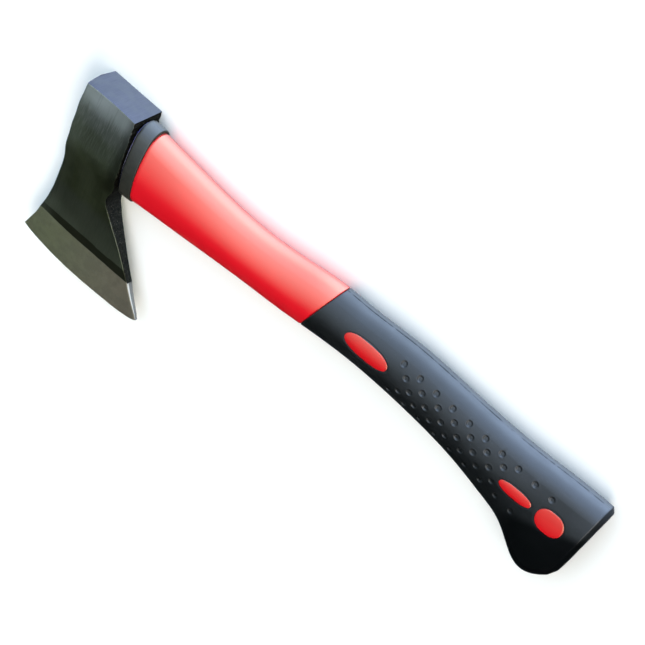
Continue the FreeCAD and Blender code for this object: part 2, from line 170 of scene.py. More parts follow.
back_line = cubic_through([s[0] for s in FORM_STATIONS], [s[1] for s in FORM_STATIONS])
belly_line = cubic_through([s[0] for s in FORM_STATIONS], [s[2] for s in FORM_STATIONS])

# Where the points of a ring lie on each of its two ends, denser towards the parting line
END_SHARES = (0.0, 0.1, 0.2, 0.3, 0.38, 0.44, 0.47, 0.485, 0.494, 0.5)


def ring_shares(face_points):
    """(arc, share of the arc) of each point of a ring, starting at the top of the back end."""
    end = list(END_SHARES) + [1 - s for s in END_SHARES[-2:0:-1]]
    face = [i / face_points for i in range(face_points)]
    shares = []
    for arc, steps in enumerate((end, face, end, face)):
        shares += [(arc, s) for s in steps]
    return np.array([a for a, _ in shares]), np.array([s for _, s in shares])


def oval(arcs, shares, back, belly, half, radius, inset=0.0):
    """Points (y, z) and outward normals of a four-arc oval, all arrays of one shape."""
    r = radius - inset
    h = half - inset
    reach = ((back - radius) - (belly + radius)) / 2
    face_r = (reach ** 2 + h ** 2 - r ** 2) / (2 * (h - r))
    turn = np.arctan2(face_r - h, reach)
    middle = (back + belly) / 2
    starts = np.choose(arcs, (-turn, turn, math.pi - turn, math.pi + turn))
    stops = np.choose(arcs, (turn, math.pi - turn, math.pi + turn, 2 * math.pi - turn))
    angle = starts + shares * (stops - starts)
    centre_y = np.choose(arcs, (back - radius, middle, belly + radius, middle))
    centre_z = np.choose(arcs, (0 * h, h - face_r, 0 * h, face_r - h))
    size = np.choose(arcs, (r, face_r, r, face_r))
    normal = np.stack([np.cos(angle), np.sin(angle)], -1)
    y = centre_y + size * normal[..., 0]
    z = centre_z + size * normal[..., 1]
    return y, z, normal


def handle_rings(centres, slopes, insets, face_points):
    """Rings of the handle's form: points and normals, each (ring, point, 3)."""
    arcs, shares = ring_shares(face_points)
    shape = (len(centres), len(arcs))
    arcs = np.broadcast_to(arcs, shape)
    shares = np.broadcast_to(shares, shape)
    centres = np.array(centres, float)[:, None]
    slopes = np.array(slopes, float)[:, None]
    insets = np.broadcast_to(np.array(insets, float)[:, None], shape)
    x = np.broadcast_to(centres, shape).copy()
    for _ in range(12):
        back = back_line(x)
        belly = belly_line(x)
        half = np.full(shape, HANDLE_HALF)
        radius = np.full(shape, END_RADIUS)
        y, z, flat_normal = oval(arcs, shares, back, belly, half, radius, insets)
        x = centres + slopes * y
    normal = np.concatenate([np.zeros(shape + (1,)), flat_normal], -1)
    return np.stack([x, y, z + MID_Z], -1), normal


def face_height(x, y, inset=0.0):
    """Height of the handle's face above the mid-plane."""
    back = back_line(x)
    belly = belly_line(x)
    r = END_RADIUS - inset
    h = HANDLE_HALF - inset
    reach = ((back - END_RADIUS) - (belly + END_RADIUS)) / 2
    face_r = (reach ** 2 + h ** 2 - r ** 2) / (2 * (h - r))
    middle = (back + belly) / 2
    return h - face_r + np.sqrt(np.maximum(face_r ** 2 - (y - middle) ** 2, 0))


def capped(name, rings, sharp_degrees=None):
    """A closed tube through rings, its ends filled between the two halves of the end rings."""
    ring_count, ring_size = rings.shape[:2]
    faces = ring_faces(ring_count, ring_size)
    half = ring_size // 2
    middle = len(END_SHARES) - 1
    for first, flip in ((0, False), ((ring_count - 1) * ring_size, True)):
        for k in range(half):
            low = (middle - k) % ring_size
            low_after = (middle - k - 1) % ring_size
            high = (middle + k) % ring_size
            high_after = (middle + k + 1) % ring_size
            quad = []
            for index in (low, low_after, high_after, high):
                if first + index not in quad:
                    quad.append(first + index)
            if len(quad) > 2:
                faces.append(tuple(quad[::-1]) if flip else tuple(quad))
    return mesh_object(name, rings.reshape(-1, 3), faces, sharp_degrees)


# ---------------------------------------------------------------- handle

def build_jacket():
    """The red jacket between the collar and the grip, ending just inside both."""
    edge = [(28.0, 1.5), (30.3, 0.6), (30.6, 0.42), (31.0, 0.26), (31.5, 0.13), (32.1, 0.04)]
    steps = np.arange(0, 126)
    centres = [c for c, _ in edge] + list(32.8 + steps)
    insets = [i for _, i in edge] + [0.0] * len(steps)
    slopes = []
    for c in centres:
        at_collar = COLLAR_END_SLOPE * smooth_step(60, 30, c)
        slopes.append(at_collar + BOUNDARY_SLOPE * smooth_step(60, BOUNDARY_X, c))
    last = BOUNDARY_X - 0.25
    keep = [i for i, c in enumerate(centres) if c < last - 0.6]
    centres = [centres[i] for i in keep] + [last - 0.3, last, last + 0.1, last + 3.0]
    insets = [insets[i] for i in keep] + [0.0, 0.12, 0.6, 2.0]
    slopes = [slopes[i] for i in keep] + [BOUNDARY_SLOPE] * 4
    points, normals = handle_rings(centres, slopes, insets, 40)
    seam = np.abs(points[..., 2] - MID_Z)
    ridge = 0.05 * np.exp(-(seam / 0.3) ** 2)
    nicks = wander(points[..., 0], 1.3, 1.0, 7.0) * wander(points[..., 0], 6.0, 1.0, 3.0)
    ridge = ridge * (1 + 2.5 * nicks)
    points = points + normals * ridge[..., None]
    return capped("jacket_shell", points)


def build_sleeve():
    """The rubber grip: dimpled on both faces, chamfered round its slanted butt."""
    pitch = 0.42
    moat_gap = 0.55
    moat_power = 2.1
    start = BOUNDARY_X + 0.25
    body_end = BUTT_X - BUTT_CHAMFER
    count = int((body_end - start) / pitch)
    lips = [(start - 0.1, 1.6), (start - 0.1, 0.6), (start + 0.08, 0.15), (start + 0.35, 0.0)]
    centres = [c for c, _ in lips]
    insets = [i for _, i in lips]
    for k in range(1, count):
        centres.append(start + 0.35 + (body_end - 0.5 - start - 0.35) * k / (count - 1))
        insets.append(0.0)
    share = [smooth_step(BOUNDARY_X, BUTT_X, c) for c in centres]
    slopes = [BOUNDARY_SLOPE * (1 - s) + BUTT_SLOPE * s for s in share]
    ends = [(body_end - 0.1, 0.03), (body_end + 0.3, 0.25)]
    for k in range(1, 5):
        ends.append((body_end + 0.3 + (BUTT_CHAMFER - 0.7) * k / 4,
                     0.25 + (BUTT_CHAMFER - 0.65) * k / 4))
    ends += [(BUTT_X - 0.2, 2.35), (BUTT_X - 0.03, 2.75), (BUTT_X + 0.05, 3.3), (BUTT_X + 0.15, 5.0),
             (BUTT_X + 0.25, 7.0), (BUTT_X + 0.28, 9.0)]
    for c, i in ends:
        centres.append(c)
        insets.append(i)
        slopes.append(BUTT_SLOPE)
    points, normals = handle_rings(centres, slopes, insets, 104)
    x = points[..., 0]
    y = points[..., 1]
    facing = np.abs(normals[..., 2]) > 0.6
    push = np.zeros(x.shape)
    for x0, y0, x1, y1, n in DIMPLE_ROWS:
        for k in range(n):
            cx = x0 + (x1 - x0) * k / (n - 1)
            cy = y0 + (y1 - y0) * k / (n - 1)
            away = np.hypot(x - cx, y - cy)
            near = away < 3 * DIMPLE_RADIUS
            bowl = -DIMPLE_DEPTH * (1 - smooth_step(DIMPLE_RADIUS * 0.68, DIMPLE_RADIUS * 1.02, away))
            lip = 0.06 * np.exp(-((away - DIMPLE_RADIUS * 1.25) / 0.35) ** 2)
            push += np.where(near & facing, bowl + lip, 0)
    for cx, cy, length, width in ISLANDS.values():
        u = (x - cx) / (length / 2 + moat_gap)
        v = (y - cy) / (width / 2 + moat_gap)
        rim = (np.abs(u) ** moat_power + np.abs(v) ** moat_power) ** (1 / moat_power)
        moat = -0.18 * np.exp(-((rim - 0.97) / 0.05) ** 2)
        push += np.where(facing & (rim < 1.5), moat, 0)
    seam = np.abs(points[..., 2] - MID_Z)
    groove = -0.4 * np.exp(-(seam / 0.24) ** 2)
    lift = 0.06 * np.exp(-((seam - 0.6) / 0.3) ** 2)
    nicks = wander(x, 1.1, 1.0, 11.0) * 0.8 + wander(x, 5.0, 1.0, 17.0)
    on_side = np.abs(normals[..., 2]) < 0.5
    on_wall = np.array(insets)[:, None] < 0.01
    push += np.where(on_side & on_wall, groove * (1 + 1.2 * nicks) + lift * (1 + 2 * nicks), 0)
    points = points + normals * push[..., None]
    return capped("grip_shell", points)


def island_outline(angle, length, width):
    """Distance from the centre of an oval (a superellipse) to its outline, by angle."""
    power = 2.25
    across = np.abs(np.cos(angle) / (length / 2)) ** power
    up = np.abs(np.sin(angle) / (width / 2)) ** power
    return (across + up) ** (-1 / power)


def build_islands():
    """Both faces' raised islands, as closed domes that stand in the grip's windows."""
    spokes = 96
    depths = (0.0, 0.04, 0.12, 0.22, 0.36, 0.55, 0.8, 1.2, 1.9)
    edge_r = 0.55
    made = []
    for name, (cx, cy, length, width) in ISLANDS.items():
        points = []
        faces = []
        for side in (1, -1):
            first = len(points)
            angle = np.arange(spokes) * 2 * math.pi / spokes
            reach = island_outline(angle, length, width)
            levels = [(reach, -1.6), (reach, -0.2)]
            for d in depths:
                fall = edge_r - math.sqrt(max(edge_r ** 2 - max(edge_r - d, 0) ** 2, 0))
                levels.append((reach - d, ISLAND_EDGE_RISE - min(fall, ISLAND_EDGE_RISE + 0.1)))
            flat_reach = reach - depths[-1]
            for share in (0.85, 0.7, 0.55, 0.4, 0.25, 0.1):
                levels.append((flat_reach * share, ISLAND_EDGE_RISE))
            for distance, rise in levels:
                x = cx + distance * np.cos(angle)
                y = cy + distance * np.sin(angle)
                base = face_height(x, y)
                dome = (ISLAND_RISE - ISLAND_EDGE_RISE) * (1 - (distance / reach) ** 3)
                z = MID_Z + side * (base + rise + dome)
                points += list(np.stack([x, y, z], -1))
            centre_top = len(points)
            points.append(np.array([cx, cy, MID_Z + side * (face_height(cx, cy) + ISLAND_RISE)]))
            faces += ring_faces(len(levels), spokes, first, flip=side < 0)
            last = first + (len(levels) - 1) * spokes
            for k in range(spokes):
                fan = (last + k, last + (k + 1) % spokes, centre_top)
                faces.append(fan if side > 0 else fan[::-1])
            floor = tuple(range(first, first + spokes))
            faces.append(floor[::-1] if side > 0 else floor)
        made.append(mesh_object(name, points, faces))
    return made


# ---------------------------------------------------------------- head

# Outline of the head's top and of its underside: y, then x
TOP_LINE = (
    (-89.6, -26.0), (-87.0, -25.1), (-84.0, -24.2), (-80.0, -22.8), (-75.0, -21.0), (-70.0, -19.7),
    (-65.0, -18.7), (-60.0, -17.8), (-55.0, -17.1), (-50.0, -16.5), (-45.0, -16.2), (-40.0, -15.8),
    (-35.0, -15.4), (-30.0, -15.15), (-25.0, -15.1), (-20.0, -15.4), (-15.0, -15.95),
    (-10.0, -16.4), (-5.0, -16.9), (0.0, -17.4), (5.0, -17.6), (10.0, -18.0), (15.0, -18.3),
    (20.0, -18.2), (26.0, -17.9),
)
UNDER_LINE = (
    (-90.0, 64.2), (-86.0, 61.9), (-82.0, 58.8), (-78.0, 55.1), (-74.0, 51.5), (-70.0, 48.1),
    (-66.0, 44.9), (-62.0, 41.6), (-58.0, 38.5), (-54.0, 35.1), (-50.0, 31.7), (-46.0, 28.4),
    (-42.0, 25.1), (-38.0, 22.0), (-36.0, 20.6), (-34.5, 19.8), (-33.0, 19.3), (-31.0, 19.1),
    (-28.5, 19.5), (-25.0, 20.6), (-21.5, 21.8), (-20.2, 22.0), (-19.0, 21.9), (26.0, 18.0),
)
# Bow of the cutting edge: share of the way from toe to heel, then how far it bulges
EDGE_BOW = (
    (0.0, 0.0), (0.02, 0.75), (0.06, 1.7), (0.13, 2.9), (0.26, 4.4), (0.4, 5.35), (0.55, 5.45),
    (0.72, 4.9), (0.8, 4.6), (0.86, 4.1), (0.92, 3.2), (0.96, 2.2), (0.985, 1.3), (1.0, 0.2),
)
# Cheek: y, then half the head's thickness
HALF_THICKNESS = ((-72.0, 2.5), (-65.0, 2.9), (-58.0, 3.4), (-51.0, 4.3), (-45.0, 5.2),
                  (-38.0, 6.5), (-30.0, 8.3), (-22.0, 10.4), (-18.0, 11.4), (-14.0, 12.1),
                  (-10.0, 12.45), (-6.0, 12.5), (12.0, 12.5), (19.0, 12.42), (26.0, 12.2))
BEVEL_Y = -72.0
CORNER_Y = -89.6
BEVEL_HALF = 2.5
EDGE_HALF = 0.4
HEEL_EXTRA = 0.55
POLL_CROWN = 0.25
DRAFT = math.tan(math.radians(5.3))

top_line = cubic_through([s[0] for s in TOP_LINE], [s[1] for s in TOP_LINE])
half_line = cubic_through([s[0] for s in HALF_THICKNESS], [s[1] for s in HALF_THICKNESS])


def under_line(y):
    """x of the underside's outline."""
    return np.interp(y, [s[0] for s in UNDER_LINE], [s[1] for s in UNDER_LINE])


def edge_bow(share):
    """How far the cutting edge bulges, from toe (0) to heel (1)."""
    return np.interp(share, [s[0] for s in EDGE_BOW], [s[1] for s in EDGE_BOW])


def head_point(row_y, share, inset):
    """A point (x, y) of the cheek: row_y from the poll to the corners, share from top to underside."""
    u = np.clip((BEVEL_Y - row_y) / (BEVEL_Y - CORNER_Y), 0, 1)
    left = top_line(row_y) + wander(row_y, 9.0, 0.25, 1.0) + inset
    ragged = smooth_step(-30.0, -22.0, row_y) * wander(row_y, 1.3, 0.5, 9.0)
    right = under_line(row_y) + wander(row_y, 7.0, 0.3, 2.0) + ragged - inset
    x = left + (right - left) * share
    near_poll = smooth_step(POLL_Y - 4.0, POLL_Y, row_y)
    poll_tilt = near_poll * (0.6 - 0.8 * share)
    bow_share = (x - TOE_X) / (HEEL_X - TOE_X)
    y = row_y - u * edge_bow(bow_share) + poll_tilt
    return x, y


def head_half(row_y, share):
    """Half the head's thickness: the cheek's, or the bevel's with a blunter heel."""
    u = np.clip((BEVEL_Y - row_y) / (BEVEL_Y - CORNER_Y), 0, 1)
    edge_half = EDGE_HALF + HEEL_EXTRA * smooth_step(0.88, 1.0, share)
    bevel_half = BEVEL_HALF + (edge_half - BEVEL_HALF) * u
    return np.where(row_y < BEVEL_Y, bevel_half, half_line(np.maximum(row_y, BEVEL_Y)))


def build_head():
    """The forging as two cheek grids joined by walls with eased edges, with the eye cut through."""
    ease = 0.45
    poll_ease = 0.28
    poll_bow = 3.0
    edge_ease = 0.35
    edge_crown = 0.12
    ground_depth = 0.3
    inside_head = np.array([5.0, -20.0])
    rows = np.concatenate([
        np.linspace(POLL_Y, -8.0, 72, endpoint=False),
        np.linspace(-8.0, BEVEL_Y + 0.5, 84, endpoint=False),
        [BEVEL_Y + 0.5, BEVEL_Y, BEVEL_Y - 0.5],
        np.linspace(BEVEL_Y - 1.2, CORNER_Y, 28),
    ])
    columns = np.concatenate([[0.0, 0.012, 0.03], np.linspace(0.06, 0.94, 60), [0.97, 0.988, 1.0]])
    row_count, column_count = len(rows), len(columns)
    inner_rows = rows.copy()
    inner_rows[0] -= poll_ease
    inner_rows[-1] += edge_ease
    grid_y, grid_s = np.meshgrid(inner_rows, columns, indexing="ij")
    half = head_half(grid_y, grid_s)
    side_ease = np.minimum(ease, half * 0.5)
    gx, gy = head_point(grid_y, grid_s, side_ease)
    bow = smooth_step(POLL_Y - 4.0, POLL_Y, grid_y) * poll_bow * grid_s * (1 - grid_s)
    far_cheek = np.stack([gx, gy, -half], -1).reshape(-1, 3)
    cheek = np.stack([gx, gy + bow, half], -1).reshape(-1, 3)

    order = [(0, c) for c in range(column_count - 1)]
    order += [(r, column_count - 1) for r in range(row_count - 1)]
    order += [(row_count - 1, c) for c in range(column_count - 1, 0, -1)]
    order += [(r, 0) for r in range(row_count - 1, 0, -1)]
    loop_index = np.array([r * column_count + c for r, c in order])
    loop_y = np.array([rows[r] for r, _ in order])
    loop_s = np.array([columns[c] for _, c in order])
    outer_x, outer_y = head_point(loop_y, loop_s, 0 * loop_y)
    loop_half = head_half(loop_y, loop_s)
    inner = cheek[loop_index]
    far_inner = far_cheek[loop_index]
    outer = np.stack([outer_x, outer_y], -1)
    on_poll = np.array([r == 0 for r, _ in order])
    wall_half = loop_half - np.where(on_poll, poll_ease, np.minimum(ease, loop_half * 0.4))
    loop_bow = np.where(on_poll, poll_bow * loop_s * (1 - loop_s), 0.0)
    torn = smooth_step(0.98, 1.0, loop_s) * smooth_step(-30.0, -36.0, loop_y)
    ground = smooth_step(0.98, 1.0, loop_s) * smooth_step(BEVEL_Y + 0.1, BEVEL_Y - 0.6, loop_y)
    on_edge = np.array([r == row_count - 1 for r, _ in order])
    tangent = np.roll(outer, -1, 0) - np.roll(outer, 1, 0)
    outward = np.stack([tangent[:, 1], -tangent[:, 0]], -1)
    outward /= np.linalg.norm(outward, axis=1)[:, None]
    if np.mean(np.sum((outer - inside_head) * outward, 1)) < 0:
        outward = -outward

    points = [cheek + [0, 0, MID_Z]]
    points.append(far_cheek + [0, 0, MID_Z])
    loops = []

    def add_loop(xy, z):
        loops.append(sum(len(p) for p in points))
        points.append(np.column_stack([xy, z + MID_Z]))

    # Each eased edge has one loop between cheek and wall, half way round its arc
    half_way = 0.7071
    outer[:, 1] += loop_bow
    middle_xy = inner[:, :2] + (outer - inner[:, :2]) * half_way
    middle_z = inner[:, 2] + (wall_half - inner[:, 2]) * (1 - half_way)
    add_loop(middle_xy, middle_z)
    for k, level in enumerate(np.linspace(1, -1, 13)):
        crown = np.where(on_poll, POLL_CROWN, 0.0)
        crown = np.where(on_edge, edge_crown, crown)
        bulge = crown * (1 - abs(level) ** 2.2)
        bulge += torn * (1 - ground) * wander(loop_y, 1.4, 0.22, 31.0 + 7 * k)
        bulge -= ground * ground_depth
        level_xy = outer + outward * bulge[:, None]
        level_xy[:, 0] -= (1 - loop_s) ** 2 * DRAFT * loop_half * (1 - abs(level))
        level_xy[:, 1] -= loop_bow * (1 - level) / 2
        add_loop(level_xy, wall_half * level)
    outer[:, 1] -= loop_bow
    middle_xy = far_inner[:, :2] + (outer - far_inner[:, :2]) * half_way
    add_loop(middle_xy, -middle_z)

    faces = []
    for r in range(row_count - 1):
        for c in range(column_count - 1):
            a = r * column_count + c
            quad = (a, a + 1, a + column_count + 1, a + column_count)
            faces.append(quad[::-1])
            low = len(cheek)
            faces.append(tuple(low + q for q in quad))
    chains = [loop_index] + [first + np.arange(len(order)) for first in loops]
    chains.append(loop_index + len(cheek))
    for upper, lower in zip(chains[:-1], chains[1:]):
        for k in range(len(order)):
            after = (k + 1) % len(order)
            faces.append((int(upper[k]), int(upper[after]), int(lower[after]), int(lower[k])))
    head = mesh_object("head_forging", np.concatenate(points), faces)

    cutter = eye_cutter()
    cut = head.modifiers.new("eye", "BOOLEAN")
    cut.operation = "DIFFERENCE"
    cut.solver = "EXACT"
    cut.object = cutter
    solid = bpy.data.meshes.new_from_object(head.evaluated_get(bpy.context.evaluated_depsgraph_get()))
    head.modifiers.clear()
    head.data = solid
    bpy.data.objects.remove(cutter)
    solid.shade_smooth()
    solid.set_sharp_from_angle(angle=math.radians(28))
    return head


def plain_ring(x, slope, back, belly, half, radius, inset=0.0, face_points=40):
    """One oval ring square to X, or on a plane that slants with y."""
    arcs, shares = ring_shares(face_points)
    one = np.ones(len(arcs))
    y, z, _ = oval(arcs, shares, back * one, belly * one, half * one, radius * one, inset * one)
    return np.stack([x + slope * y, y, z + MID_Z], -1)


# Ovals: back, belly, half thickness and end radius
EYE_TOP = (18.0, -20.0, 8.5, 7.0)
EYE_BOTTOM = (16.5, -18.5, 7.5, 7.0)
BEAD_OVAL = (23.6, -23.6, 11.2, 9.0)


def eye_cutter():
    """The tapered eye with a small flare at its upper rim."""
    rings = []
    for x, inset in ((-24.0, -0.9), (-18.3, -0.9), (-17.0, 0.0)):
        rings.append(plain_ring(x, 0.0, *EYE_TOP, inset))
    for x, inset in ((21.0, 0.0), (26.0, 0.0)):
        rings.append(plain_ring(x, 0.0, *EYE_BOTTOM, inset))
    return capped("eye_cutter", np.array(rings))


def build_collar():
    """The rubber collar: a cone with rolled rims."""
    top = (25.2, -24.6, 11.6, 9.8)
    end = (24.9, -24.0, 12.4, 9.8)
    top_x = UNDERSIDE_X + 1.4
    rim_scale = 5.0 / (COLLAR_END_X - 20.5)
    profile = [(0.55, 2.6), (0.2, 2.6), (0.04, 2.0), (0.0, 1.0), (0.02, 0.6), (0.06, 0.22), (0.13, 0.03)]
    steps = [(along * rim_scale, inset) for along, inset in profile]
    steps += [(0.2, 0.0), (0.35, 0.0), (0.5, 0.0), (0.65, 0.0), (0.8, 0.0), (0.9, 0.0)]
    steps += [(0.955, 0.02), (0.985, 0.18), (0.998, 0.5), (1.0, 1.0), (1.0, 2.4)]
    rings = []
    for share, inset in steps:
        oval_here = [a + (b - a) * share for a, b in zip(top, end)]
        x = top_x + (COLLAR_END_X - top_x) * share
        slope = UNDERSIDE_SLOPE + (COLLAR_END_SLOPE - UNDERSIDE_SLOPE) * share
        rings.append(plain_ring(x, slope, *oval_here, inset))
    return capped("collar_sleeve", np.array(rings))


def build_resin():
    """The epoxy: a bulging bead squeezed out under the head, and the pool that fills the eye."""
    bead = []
    for along, swell in ((-0.4, 2.5), (0.15, 0.9), (0.3, 0.35), (0.55, 0.08), (0.8, 0.0), (1.05, 0.1),
                         (1.3, 0.4), (1.7, 2.5)):
        bead.append(plain_ring(UNDERSIDE_X + along, UNDERSIDE_SLOPE, *BEAD_OVAL, swell))
    bead_piece = capped("resin_bead", np.array(bead))
    pool = []
    for depth, inset in ((-16.0, 0.0), (-17.0, -0.02), (-17.45, 0.12), (-17.4, 0.7), (-17.25, 1.6),
                         (-17.15, 3.0), (-17.1, 5.0), (-17.1, 6.5)):
        pool.append(plain_ring(depth, 0.0, *EYE_TOP, inset))
    pool_piece = capped("resin_pool", np.array(pool[::-1]))
    return bead_piece, pool_piece


# ---------------------------------------------------------------- materials

class Recipe:
    """A material's node tree, written with short calls.  Distances in it are millimetres."""

    def __init__(self, name, **finish):
        self.material = bpy.data.materials.new(name)
        self.material.use_nodes = True
        self.tree = self.material.node_tree
        self.shader = self.tree.nodes["Principled BSDF"]
        for label, value in finish.items():
            self.shader.inputs[label.replace("_", " ")].default_value = value
        coordinates = self.tree.nodes.new("ShaderNodeTexCoord")
        self.place = self.vector_math("SCALE", coordinates.outputs["Object"], scale=1 / MM)
        split = self.add("ShaderNodeSeparateXYZ", {"Vector": self.place})
        self.x, self.y, self.z = split.outputs[0], split.outputs[1], split.outputs[2]
        geometry = self.tree.nodes.new("ShaderNodeNewGeometry")
        facing = self.add("ShaderNodeSeparateXYZ", {"Vector": geometry.outputs["Normal"]})
        self.nx, self.ny, self.nz = facing.outputs[0], facing.outputs[1], facing.outputs[2]

    def put(self, socket, value):
        if isinstance(value, bpy.types.NodeSocket):
            self.tree.links.new(value, socket)
        else:
            socket.default_value = value

    def add(self, kind, inputs, **settings):
        node = self.tree.nodes.new(kind)
        for label, value in settings.items():
            setattr(node, label, value)
        for label, value in inputs.items():
            self.put(node.inputs[label], value)
        return node

    def math(self, operation, a, b=0.0, clamp=False):
        node = self.add("ShaderNodeMath", {0: a, 1: b}, operation=operation, use_clamp=clamp)
        return node.outputs[0]

    def vector_math(self, operation, a, b=(0, 0, 0), scale=1.0):
        node = self.add("ShaderNodeVectorMath", {0: a}, operation=operation)
        if operation == "SCALE":
            node.inputs["Scale"].default_value = scale
        else:
            self.put(node.inputs[1], b)
        return node.outputs[0]

    def stretched(self, x, y, z):
        """The object's own place, divided by a grain size along each axis."""
        return self.vector_math("MULTIPLY", self.place, (1 / x, 1 / y, 1 / z))

    def noise(self, vector, detail=2.0, roughness=0.5, distortion=0.0):
        node = self.add("ShaderNodeTexNoise", {
            "Vector": vector, "Scale": 1.0, "Detail": detail, "Roughness": roughness,
            "Distortion": distortion,
        })
        return node.outputs["Fac"]

    def spread(self, value, low, high, to_low=0.0, to_high=1.0):
        """Value from low..high to to_low..to_high with soft ends."""
        node = self.add("ShaderNodeMapRange", {
            "Value": value, "From Min": low, "From Max": high, "To Min": to_low, "To Max": to_high,
        }, interpolation_type="SMOOTHSTEP")
        return node.outputs[0]

    def mix(self, share, first, second):
        node = self.add("ShaderNodeMix", {}, data_type="RGBA", clamp_factor=True)
        self.put(node.inputs[0], share)
        self.put(node.inputs[6], first)
        self.put(node.inputs[7], second)
        return node.outputs[2]

    def over(self, under, mask, amount, above):
        """One colour over another, where a mask lets it through, by an amount."""
        return self.mix(self.math("MULTIPLY", mask, amount), under, above)

    def colour(self, value):
        self.put(self.shader.inputs["Base Color"], value)

    def roughness(self, value):
        self.put(self.shader.inputs["Roughness"], value)

    def sheen_tint(self, value):
        self.put(self.shader.inputs["Specular Tint"], value)

    def bump(self, height, distance, strength=1.0):
        """Raise the surface by a height of 0 to 1 times a distance in millimetres."""
        old = self.shader.inputs["Normal"]
        node = self.add("ShaderNodeBump", {"Height": height, "Distance": distance * MM,
                                           "Strength": strength})
        if old.is_linked:
            self.tree.links.new(old.links[0].from_socket, node.inputs["Normal"])
        self.tree.links.new(node.outputs[0], old)


# The rubber's shine, and where the shiny face gives way to the lobe painted near-black as a painted dark
# reflection
RUBBER_SHEEN = (0.77, 0.77, 0.75, 1.0)
LOBE_X = 312.0
LOBE_SLOPE = 0.42

# Top of the dark band above the bevel, and how far the bevel line is raised, more at the toe
BAND_Y = -66.1
BEVEL_RISE = 0.25
TOE_RISE = 1.6
TOE_RISE_X = 12.0
TOE_RISE_LENGTH = 27.0

# Saw arcs across the underside: how strongly they bend, and how closely they follow
SAW_BEND = 0.04
SAW_RATE = 3.6


def paint(red, green, blue):
    """A colour given as it looks on a screen, 0 to 255, as the shader's linear numbers."""
    linear = []
    for channel in (red, green, blue):
        c = channel / 255
        linear.append(c / 12.92 if c <= 0.04045 else ((c + 0.055) / 1.055) ** 2.4)
    return (*linear, 1.0)


def red_plastic(name, dark, light, shine):
    """Glossy moulded plastic with faint pale specks along its parting line."""
    m = Recipe(name, Roughness=0.28, IOR=1.84, Specular_IOR_Level=shine,
               Specular_Tint=(0.38, 0.9, 0.57, 1.0))
    cloud = m.noise(m.stretched(30.0, 9.0, 9.0), 2.0)
    tone = m.mix(m.spread(cloud, 0.35, 0.65), dark, light)
    seam = m.math("ABSOLUTE", m.math("SUBTRACT", m.z, MID_Z))
    on_seam = m.spread(seam, 0.45, 0.1)
    speck = m.spread(m.noise(m.stretched(2.2, 1.0, 1.0), 2.0), 0.62, 0.74)
    m.colour(m.over(tone, on_seam, speck, paint(222, 60, 60)))
    m.bump(m.noise(m.stretched(0.5, 0.5, 0.5), 3.0, 0.6), 0.004)
    return m.material


def grey(level):
    """A neutral linear colour."""
    return (level, level, level, 1.0)


def black_rubber(name, dark, light):
    """Satin rubber with dust, its seam painted dark as painted shade, a duller palm side, and a duller
    lobe painted near-black as a painted dark reflection.

    The gloss differs by place through the specular tint, because the specular level has to
    stay one number.
    """
    m = Recipe(name, Roughness=0.5, IOR=1.5, Specular_IOR_Level=1.0, Specular_Tint=RUBBER_SHEEN)
    cloud = m.noise(m.stretched(16.0, 7.0, 7.0), 4.0, 0.6)
    dust = m.spread(m.noise(m.stretched(1.6, 1.6, 1.6), 4.0, 0.7), 0.62, 0.75)
    tone = m.mix(m.spread(cloud, 0.3, 0.7), dark, light)
    tone = m.over(tone, dust, 0.12, paint(120, 128, 138))
    # Painted shade: the seam groove is painted near-black.
    from_seam = m.math("ABSOLUTE", m.math("SUBTRACT", m.z, MID_Z))
    tone = m.mix(m.spread(from_seam, 0.32, 0.16), tone, paint(3, 3, 4))
    grain = m.noise(m.stretched(0.35, 0.35, 0.35), 3.0, 0.6)
    m.roughness(m.spread(cloud, 0.3, 0.7, 0.36, 0.46))
    m.bump(grain, 0.03)
    palm_side = m.math("MULTIPLY", m.spread(m.x, 225.0, 262.0), m.spread(m.y, 6.0, -3.0))
    # Painted dark reflection: past a slanted line on the belly side near the butt, the rubber is painted
    # near-black and its gloss is turned down.
    toward_butt = m.math("MULTIPLY", m.math("SUBTRACT", m.x, LOBE_X), LOBE_SLOPE)
    lobe_line = m.math("SUBTRACT", m.y, toward_butt)
    dark_reflection_lobe = m.math("MULTIPLY", m.spread(m.x, 290.0, 308.0), m.spread(lobe_line, -4.0, -11.0))
    back_glow = m.math("MULTIPLY", m.spread(m.x, 215.0, 320.0), m.spread(m.y, 4.0, 13.0))
    sheen = m.mix(back_glow, RUBBER_SHEEN, grey(0.88))
    sheen = m.mix(palm_side, sheen, (0.38, 0.38, 0.37, 1.0))
    sheen = m.mix(dark_reflection_lobe, sheen, grey(0.07))
    m.colour(m.mix(dark_reflection_lobe, tone, paint(5, 6, 6)))
    m.sheen_tint(m.mix(m.spread(m.nx, 0.25, 0.6, 0.0, 0.6), sheen, grey(0.0)))
    return m.material


